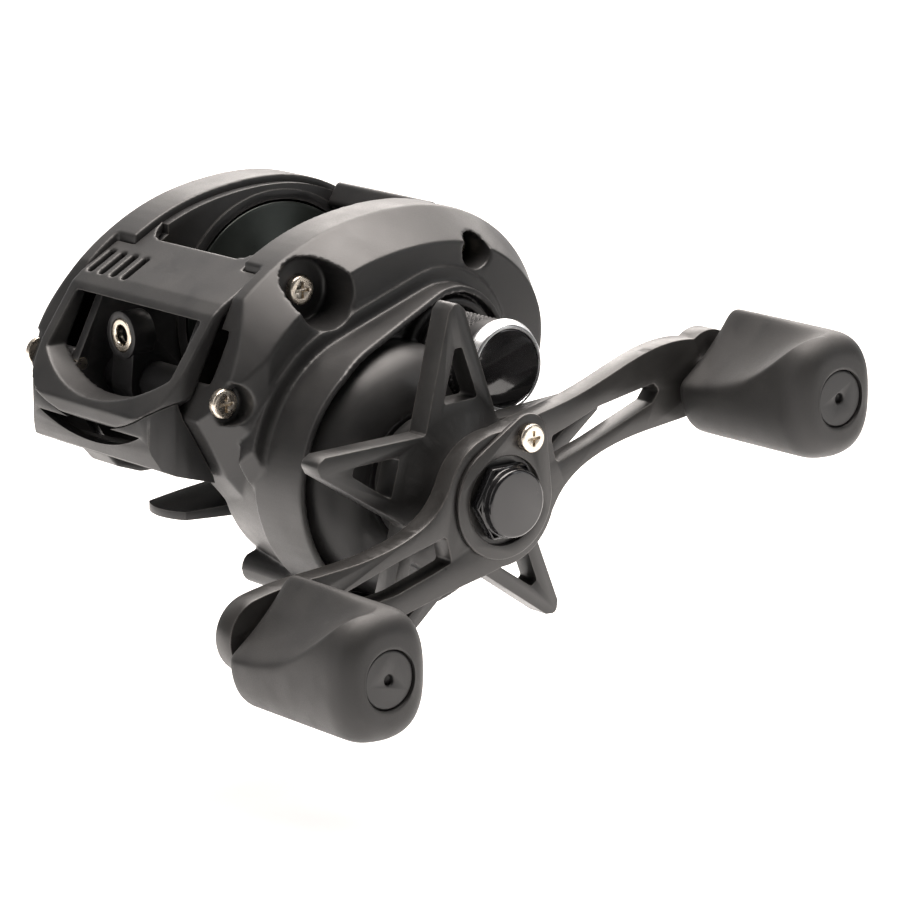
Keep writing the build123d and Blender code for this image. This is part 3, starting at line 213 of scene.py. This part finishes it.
def finish(slot, dark, light, rough, grain_mm=0.3, depth_mm=0.01, metallic=0.0, patch_mm=7.0,
           edge_sheen=None, axis=None, **uniform):
    """Procedural material: clouded colour, uneven roughness, fine relief and, if asked, paler edges painted
    on as a highlight.
    """
    material = bpy.data.materials.new(slot)
    material.use_nodes = True
    tree = material.node_tree
    shader = tree.nodes["Principled BSDF"]
    shader.inputs["Metallic"].default_value = metallic
    for name, value in uniform.items():
        shader.inputs[name.replace("_", " ")].default_value = value
    place = add_node(tree, "ShaderNodeTexCoord").outputs["Object"]
    cloud = noise(tree, place, patch_mm, 4)
    fine = turned_rings(tree, place, axis, grain_mm) if axis else noise(tree, place, grain_mm, 3)
    colour = blended(tree, ranged(tree, cloud, 0.0, 1.0), dark, light)
    # paler edges: a painted highlight along the edges
    if edge_sheen:
        colour = blended(tree, edge_share(tree, place, EDGE_SHEEN_MM), colour, edge_sheen)
    tree.links.new(colour, shader.inputs["Base Color"])
    both = add_node(tree, "ShaderNodeMath", operation="ADD")
    tree.links.new(ranged(tree, cloud, rough[0], rough[1]), both.inputs[0])
    tree.links.new(ranged(tree, fine, -0.04, 0.04), both.inputs[1])
    tree.links.new(both.outputs[0], shader.inputs["Roughness"])
    bump = add_node(tree, "ShaderNodeBump")
    bump.inputs["Strength"].default_value = 1.0
    bump.inputs["Distance"].default_value = depth_mm * MM
    tree.links.new(fine, bump.inputs["Height"])
    tree.links.new(bump.outputs["Normal"], shader.inputs["Normal"])
    return material


def paper_material():
    """Matt white paper of the sweep."""
    paper = finish("paper", (0.90, 0.895, 0.89), (0.93, 0.925, 0.92), (0.85, 0.95), 1.5, 0.03, patch_mm=60)
    shader = paper.node_tree.nodes["Principled BSDF"]
    shader.inputs["Emission Color"].default_value = (1.0, 0.995, 0.99, 1)
    shader.inputs["Emission Strength"].default_value = 0.45
    return paper


def centre_of(node):
    low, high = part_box(node)
    return (low + high) / 2


def make_materials():
    for packed in list(bpy.data.materials):
        bpy.data.materials.remove(packed)
    spool_axis = tuple(centre_of("spool"))
    drive_axis = tuple(centre_of("handle_nut"))
    cap_axis = tuple(centre_of("tension_cap"))
    made = [
        # the paler edge colours given below are painted highlights along each part's edges
        finish("shell_plastic", (0.0105, 0.0105, 0.011), (0.0165, 0.0162, 0.016), (0.38, 0.50), 0.22, 0.008,
               edge_sheen=(0.05, 0.048, 0.046)),
        finish("frame_paint", (0.0105, 0.0105, 0.011), (0.0165, 0.0165, 0.017), (0.38, 0.50), 0.35, 0.008,
               edge_sheen=(0.06, 0.058, 0.055)),
        finish("foot_paint", (0.012, 0.012, 0.013), (0.020, 0.020, 0.021), (0.42, 0.55), 0.3, 0.012,
               edge_sheen=(0.09, 0.088, 0.085)),
        finish("arm_paint", (0.013, 0.0125, 0.012), (0.022, 0.021, 0.020), (0.30, 0.42), 0.4, 0.006,
               edge_sheen=(0.11, 0.10, 0.095)),
        finish("star_plastic", (0.014, 0.014, 0.014), (0.022, 0.0215, 0.021), (0.32, 0.44), 0.25, 0.007,
               edge_sheen=(0.07, 0.067, 0.063)),
        finish("grip_rubber", (0.0125, 0.012, 0.012), (0.019, 0.0185, 0.018), (0.46, 0.60), 0.18, 0.014,
               patch_mm=5.0),
        finish("cap_plastic", (0.014, 0.014, 0.0145), (0.020, 0.020, 0.020), (0.40, 0.50), 0.2, 0.008),
        finish("knurl_black", (0.010, 0.010, 0.011), (0.016, 0.016, 0.017), (0.30, 0.42), 0.2, 0.004,
               metallic=0.3, edge_sheen=(0.12, 0.12, 0.12)),
        finish("ring_silver", (0.50, 0.51, 0.53), (0.64, 0.65, 0.66), (0.20, 0.32), 0.12, 0.004,
               metallic=1.0, axis=cap_axis),
        finish("inlay_gloss", (0.006, 0.006, 0.007), (0.010, 0.010, 0.011), (0.06, 0.12), 0.6, 0.001,
               Coat_Weight=0.6, Coat_Roughness=0.05),
        finish("nut_black", (0.008, 0.008, 0.009), (0.014, 0.014, 0.015), (0.14, 0.24), 0.3, 0.003,
               metallic=0.2, axis=drive_axis, Coat_Weight=0.4, Coat_Roughness=0.12),
        finish("spool_anodised", (0.020, 0.024, 0.022), (0.032, 0.037, 0.034), (0.28, 0.38), 0.14, 0.006,
               metallic=0.7, axis=spool_axis),
        finish("rotor_aluminium", (0.55, 0.55, 0.56), (0.68, 0.68, 0.69), (0.25, 0.38), 0.15, 0.005,
               metallic=1.0, axis=spool_axis),
        finish("steel", (0.46, 0.46, 0.47), (0.62, 0.62, 0.63), (0.22, 0.36), 0.25, 0.004, metallic=1.0),
        finish("screw_nickel", (0.62, 0.55, 0.46), (0.80, 0.73, 0.63), (0.20, 0.36), 0.2, 0.006,
               metallic=1.0, patch_mm=1.2),
        finish("guide_cream", (0.68, 0.62, 0.50), (0.80, 0.75, 0.64), (0.25, 0.38), 0.3, 0.004),
        finish("brass", (0.55, 0.38, 0.15), (0.70, 0.52, 0.24), (0.22, 0.36), 0.2, 0.005, metallic=1.0),
        finish("carbon", (0.012, 0.012, 0.013), (0.035, 0.035, 0.036), (0.35, 0.5), 0.5, 0.02, patch_mm=0.8),
        finish("ring_champagne", (0.66, 0.58, 0.47), (0.84, 0.77, 0.66), (0.14, 0.26), 0.15, 0.004,
               metallic=1.0, patch_mm=1.5),
        finish("carriage_plastic", (0.012, 0.012, 0.013), (0.020, 0.020, 0.021), (0.34, 0.46), 0.2, 0.007,
               edge_sheen=(0.05, 0.05, 0.05)),
        finish("bush_polymer", (0.30, 0.28, 0.24), (0.38, 0.36, 0.31), (0.40, 0.52), 0.25, 0.005),
        finish("magnet", (0.42, 0.42, 0.43), (0.55, 0.55, 0.56), (0.25, 0.40), 0.25, 0.005, metallic=1.0),
    ]
    return {material.name: material for material in made}


# ---------------------------------------------------------------- mesh work
def object_of(bm, name):
    mesh = bpy.data.meshes.new(name)
    bmesh.ops.recalc_face_normals(bm, faces=bm.faces)
    bm.to_mesh(mesh)
    bm.free()
    piece = bpy.data.objects.new(name, mesh)
    bpy.context.scene.collection.objects.link(piece)
    return piece


def copy_of(node, suffix, dissolve=0.0):
    """A welded copy of a CAD node's mesh, as a new piece."""
    bm = bmesh.new()
    bm.from_mesh(nodes[node].data)
    bmesh.ops.remove_doubles(bm, verts=bm.verts, dist=0.002 * MM)
    if dissolve:
        bmesh.ops.dissolve_limit(bm, angle_limit=math.radians(dissolve), verts=bm.verts, edges=bm.edges)
    return object_of(bm, f"{node}_{suffix}")


def bake_modifiers(piece):
    """Replace the piece's mesh by what its modifiers make."""
    depsgraph = bpy.context.evaluated_depsgraph_get()
    mesh = bpy.data.meshes.new_from_object(piece.evaluated_get(depsgraph))
    piece.modifiers.clear()
    piece.data = mesh


def stand_for(piece, *replaced):
    """Give the piece its node's body, slot and material, and hide the node."""
    node = replaced[0]
    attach(piece, BODY_OF[node])
    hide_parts(*replaced)
    piece.data.materials.clear()
    piece.data.materials.append(materials[SLOT_OF[node]])
    return piece


HOOD_LEAN = math.radians(27)                  # parting plane between hood and covers, from upright
HOOD_LINE_AT = Vector((29.6, 0, 34.9)) * MM   # a point on that plane
FRONT_INNER_Y, FRONT_THICK, FRONT_MARGIN = 19.4 * MM, 1.6 * MM, 0.5 * MM
FRONT_SETBACK, ON_PLANE = 0.1 * MM, 0.05 * MM


def close_front(piece, side):
    """Wall across part of a cover's open front, just behind its leaning parting plane with the hood."""
    forward = Vector((math.cos(HOOD_LEAN), 0, math.sin(HOOD_LEAN)))
    up = Vector((-math.sin(HOOD_LEAN), 0, math.cos(HOOD_LEAN)))
    edge = []
    for vertex in piece.data.vertices:
        away = vertex.co - HOOD_LINE_AT
        if abs(away.dot(forward)) < ON_PLANE and side * vertex.co.y > FRONT_INNER_Y:
            edge.append((vertex.co.y, away.dot(up)))
    outline = [Vector(edge[i]) for i in geometry.convex_hull_2d([Vector(e) for e in edge])]
    middle = sum(outline, Vector((0, 0))) / len(outline)
    outline = [p - (p - middle).normalized() * FRONT_MARGIN for p in outline]
    bm = bmesh.new()
    bm.from_mesh(piece.data)
    rings = []
    for depth in (FRONT_SETBACK, FRONT_THICK):
        base = HOOD_LINE_AT - forward * depth
        rings.append([bm.verts.new(base + up * p.y + Vector((0, p.x, 0))) for p in outline])
    made = [bm.faces.new(rings[0]), bm.faces.new(rings[1][::-1])]
    for i in range(len(outline)):
        j = (i + 1) % len(outline)
        made.append(bm.faces.new((rings[0][j], rings[0][i], rings[1][i], rings[1][j])))
    bmesh.ops.recalc_face_normals(bm, faces=made)
    bm.to_mesh(piece.data)
    bm.free()


def moulded(node, voxel_mm, rounds, keep):
    """A cast or moulded part: remeshed evenly and relaxed, so that its edges and inner corners are soft."""
    piece = copy_of(node, "moulding")
    if node in COVER_SIDES:
        close_front(piece, COVER_SIDES[node])
    remesh = piece.modifiers.new("remesh", "REMESH")
    remesh.mode = "VOXEL"
    remesh.voxel_size = voxel_mm * MM
    relax = piece.modifiers.new("relax", "SMOOTH")
    relax.factor = 0.5
    relax.iterations = rounds
    thin = piece.modifiers.new("thin", "DECIMATE")
    thin.ratio = keep
    bake_modifiers(piece)
    piece.data.shade_smooth()
    return stand_for(piece, node)


def bevelled(node, width_mm, segments=2, smooth_deg=38):
    """A machined or stamped part: crisp faces with a rounded break along every edge."""
    piece = copy_of(node, "finish", dissolve=0.6)
    bevel = piece.modifiers.new("bevel", "BEVEL")
    bevel.width = width_mm * MM
    bevel.segments = segments
    bevel.limit_method = "ANGLE"
    bevel.angle_limit = math.radians(32)
    bevel.use_clamp_overlap = True
    bevel.miter_outer = "MITER_ARC"
    bake_modifiers(piece)
    piece.data.shade_smooth()
    piece.data.set_sharp_from_angle(angle=math.radians(smooth_deg))
    return stand_for(piece, node)


def lofted(name, rings, caps=True):
    """Quads between rings of equal length; the first and last ring close on their centres."""
    bm = bmesh.new()
    loops = [[bm.verts.new(point) for point in ring] for ring in rings]
    count = len(loops[0])
    for a, b in zip(loops, loops[1:]):
        for i in range(count):
            j = (i + 1) % count
            bm.faces.new((a[i], a[j], b[j], b[i]))
    if caps:
        for loop in (loops[0], loops[-1]):
            centre = sum((v.co for v in loop), Vector()) / count
            tip = bm.verts.new(centre)
            for i in range(count):
                bm.faces.new((loop[i], loop[(i + 1) % count], tip))
    bmesh.ops.remove_doubles(bm, verts=bm.verts, dist=0.004 * MM)
    bmesh.ops.dissolve_degenerate(bm, edges=bm.edges, dist=0.002 * MM)
    piece = object_of(bm, name)
    piece.data.shade_smooth()
    return piece


# ---------------------------------------------------------------- handle knobs
GRIP_POWER = 2.6           # squareness of the knob's oval section
FACET_STEPS, SIDE_STEPS = 12, 26
CAP_SEAT_R = 4.42 * MM


def oval_point(half_w, half_h, angle):
    c, s = math.cos(angle), math.sin(angle)
    x = half_w * math.copysign(abs(c) ** (2 / GRIP_POWER), c)
    z = half_h * math.copysign(abs(s) ** (2 / GRIP_POWER), s)
    return x, z


def facet_ends(half_w, half_h, flat, lean):
    """Angles, either side of the facet's normal, where the flat meets the oval."""
    def reach(angle):
        x, z = oval_point(half_w, half_h, angle)
        return x * math.cos(lean) + z * math.sin(lean) - flat

    spread = [lean + a for a in np.linspace(-math.pi / 2, math.pi / 2, 121)]
    outside = [a for a in spread if reach(a) > 0]
    if not outside:
        top = max(spread, key=reach)
        return top - 0.004, top + 0.004
    ends = []
    for edge, step in ((outside[0], -math.pi / 120), (outside[-1], math.pi / 120)):
        inside, over = edge + step, edge
        for _ in range(12):
            middle = (inside + over) / 2
            inside, over = (inside, middle) if reach(middle) > 0 else (middle, over)
        ends.append(inside)
    return tuple(ends)


def grip_section(half_w, half_h, flat, lean):
    """Oval cut flat on two opposite sides, whose normal leans by lean from +X, as points round the axis."""
    start, stop = facet_ends(half_w, half_h, flat, lean)
    (x0, z0), (x1, z1) = oval_point(half_w, half_h, start), oval_point(half_w, half_h, stop)
    scoop = 0.05 * math.hypot(x1 - x0, z1 - z0)
    points = []
    for side in (1, -1):
        for share in np.linspace(0, 1, FACET_STEPS + 2)[:-1]:
            sag = scoop * 4 * share * (1 - share)
            points.append((side * (x0 + (x1 - x0) * share - sag * math.cos(lean)),
                           side * (z0 + (z1 - z0) * share - sag * math.sin(lean))))
        for angle in np.linspace(stop, start + math.pi, SIDE_STEPS + 1)[:-1]:
            x, z = oval_point(half_w, half_h, angle)
            points.append((side * x, side * z))
    return points


def facet_at(share, half_h):
    """Distance from the axis and lean of the facets, from the neck (0) to their crest (1)."""
    neck = 4.6 * MM
    if share >= 1:
        return 2 * half_h, math.radians(88)
    return neck + (half_h * 1.01 - neck) * share ** 2.1, math.radians(46 + 42 * share ** 4.5)


def build_knob(index):
    """Paddle knob: rounded barrel with two twisted finger facets, a round end and a seat for its cap."""
    node = f"knob_{index}"
    low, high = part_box(node)
    centre = (low + high) / 2
    half_w, half_h = (high.x - low.x) / 2, (high.z - low.z) / 2
    inner, outer = low.y, high.y
    neck, nose, crest = 1.8 * MM, 4.6 * MM, 25.5 * MM
    body_end = outer - nose
    sections = [(inner, 3.2 * MM), (inner, neck)]
    sections += [(inner + neck * (1 - math.cos(a)), neck * (1 - math.sin(a)))
                 for a in np.linspace(0, math.pi / 2, 7)[1:]]
    sections += [(y, 0.0) for y in np.linspace(inner + neck, body_end, 40)[1:]]
    sections += [(body_end + nose * math.sin(a) * 0.97, nose * (1 - math.cos(a)) * 0.75)
                 for a in np.linspace(0, math.pi / 2, 13)[1:]]
    loops = []
    for y, drop in sections:
        flat, lean = facet_at((y - inner) / crest, half_h)
        ring = grip_section(half_w - drop, half_h - drop, flat - drop * 0.6, lean)
        loops.append([(centre.x + x, y, centre.z + z) for x, z in ring])
    seat_y = sections[-1][0]
    rim = []
    for x, _, z in loops[-1]:
        a = math.atan2(z - centre.z, x - centre.x)
        rim.append((centre.x + CAP_SEAT_R * math.cos(a), seat_y + 0.1 * MM,
                    centre.z + CAP_SEAT_R * math.sin(a)))
    loops.append([tuple((p + q) / 2 for p, q in zip(a, b)) for a, b in zip(loops[-1], rim)])
    loops.append(rim)
    loops.append([(x, seat_y - 0.15 * MM, z) for x, _, z in rim])
    loops.append([(x, outer - 1.75 * MM, z) for x, _, z in rim])
    piece = lofted(f"{node}_grip", loops)
    soft = piece.vertex_groups.new(name="soft")
    away = [math.hypot(v.co.x - centre.x, v.co.z - centre.z) for v in piece.data.vertices]
    soft.add([i for i, r in enumerate(away) if r > CAP_SEAT_R + 0.15 * MM], 1.0, "REPLACE")
    relax = piece.modifiers.new("relax", "SMOOTH")
    relax.factor, relax.iterations, relax.vertex_group = 0.5, 5, "soft"
    piece.modifiers.new("finer", "SUBSURF").levels = 1
    bake_modifiers(piece)
    piece.data.shade_smooth()
    piece.data.set_sharp_from_angle(angle=math.radians(50))
    return stand_for(piece, node)


# ---------------------------------------------------------------- tension knob
KNURL_COUNT, KNURL_DEPTH, KNURL_ROWS = 48, 0.34 * MM, 52
STEPS_PER_DIAMOND = 8
GROOVE_START = 0.45           # share of a diamond's half width that stays at full height


def knurl_depth(angle, along, radius, count):
    """0 on a diamond's peak and 1 in its grooves."""
    turn = along / radius
    first = abs(((angle + turn) * count / (2 * math.pi)) % 1 - 0.5) * 2
    second = abs(((angle - turn) * count / (2 * math.pi)) % 1 - 0.5) * 2
    return max(max(first - GROOVE_START, 0), max(second - GROOVE_START, 0)) / (1 - GROOVE_START)


def build_tension_cap():
    """Cup-shaped knob with a band of cut diamonds round it."""
    low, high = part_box("tension_cap")
    centre = (low + high) / 2
    radius, bore = (high.x - low.x) / 2, 5.9 * MM
    turns = KNURL_COUNT * STEPS_PER_DIAMOND
    band_low, band_high = low.y + 0.7 * MM, high.y - 2.7 * MM
    profile = [(0, high.y - 1.5 * MM), (bore, high.y - 1.5 * MM), (bore, low.y + 0.3 * MM),
               (bore + 0.3 * MM, low.y), (radius - 0.3 * MM, low.y), (radius, low.y + 0.3 * MM)]
    after = [(radius, band_high + 0.25 * MM), (radius, high.y - 0.3 * MM),
             (radius - 0.3 * MM, high.y), (0, high.y)]
    angles = [2 * math.pi * i / turns for i in range(turns)]

    def plain(r, y):
        r = max(r, 0.01 * MM)
        return [(centre.x + r * math.cos(a), y, centre.z + r * math.sin(a)) for a in angles]

    loops = [plain(r, y) for r, y in profile]
    for k in range(KNURL_ROWS + 1):
        y = band_low + (band_high - band_low) * k / KNURL_ROWS
        fade = min(1.0, k / 2, (KNURL_ROWS - k) / 2)
        ring = []
        for a in angles:
            r = radius - KNURL_DEPTH * fade * knurl_depth(a, y - band_low, radius, KNURL_COUNT)
            ring.append((centre.x + r * math.cos(a), y, centre.z + r * math.sin(a)))
        loops.append(ring)
    loops += [plain(r, y) for r, y in after]
    piece = lofted("tension_cap_knurled", loops)
    piece.data.set_sharp_from_angle(angle=math.radians(30))
    return stand_for(piece, "tension_cap")


# ---------------------------------------------------------------- the reel
# voxel in mm, smoothing rounds, share of faces kept
MOULDED = {"gear_side_cover": (0.30, 7, 0.30), "palm_side_cover": (0.30, 7, 0.30),
           "front_hood": (0.26, 6, 0.4), "thumb_bar": (0.26, 6, 0.5)}
COVER_SIDES = {"gear_side_cover": 1, "palm_side_cover": -1}
# width of the rounded edge in mm
BEVELLED = {"frame": 0.25, "reel_foot": 0.35, "foot_screws": 0.1, "gear_cover_screws": 0.1,
            "palm_cover_screws": 0.1, "worm_shield": 0.12, "star_drag": 0.4, "star_nut": 0.15,
            "handle_arm": 0.35, "handle_nut": 0.35, "nut_retainer": 0.2, "retainer_screw": 0.1,
            "knob_cap_1": 0.2, "knob_cap_2": 0.2, "tension_ring": 0.25, "tension_inlay": 0.2,
            "spool": 0.15, "line_guide": 0.25, "guide_ring": 0.12, "brake_dial": 0.3, "guide_bar": 0.1,
            "arm_spacer": 0.15, "worm_shaft": 0.1}

aim_camera()
light_studio()
materials = make_materials()
lay_floor()
for name, node_object in nodes.items():
    node_object.data.materials.clear()
    node_object.data.materials.append(materials[SLOT_OF[name]])
for name, (voxel, rounds, keep) in MOULDED.items():
    moulded(name, voxel, rounds, keep)
for name, width in BEVELLED.items():
    bevelled(name, width)
for index in (1, 2):
    build_knob(index)
build_tension_cap()
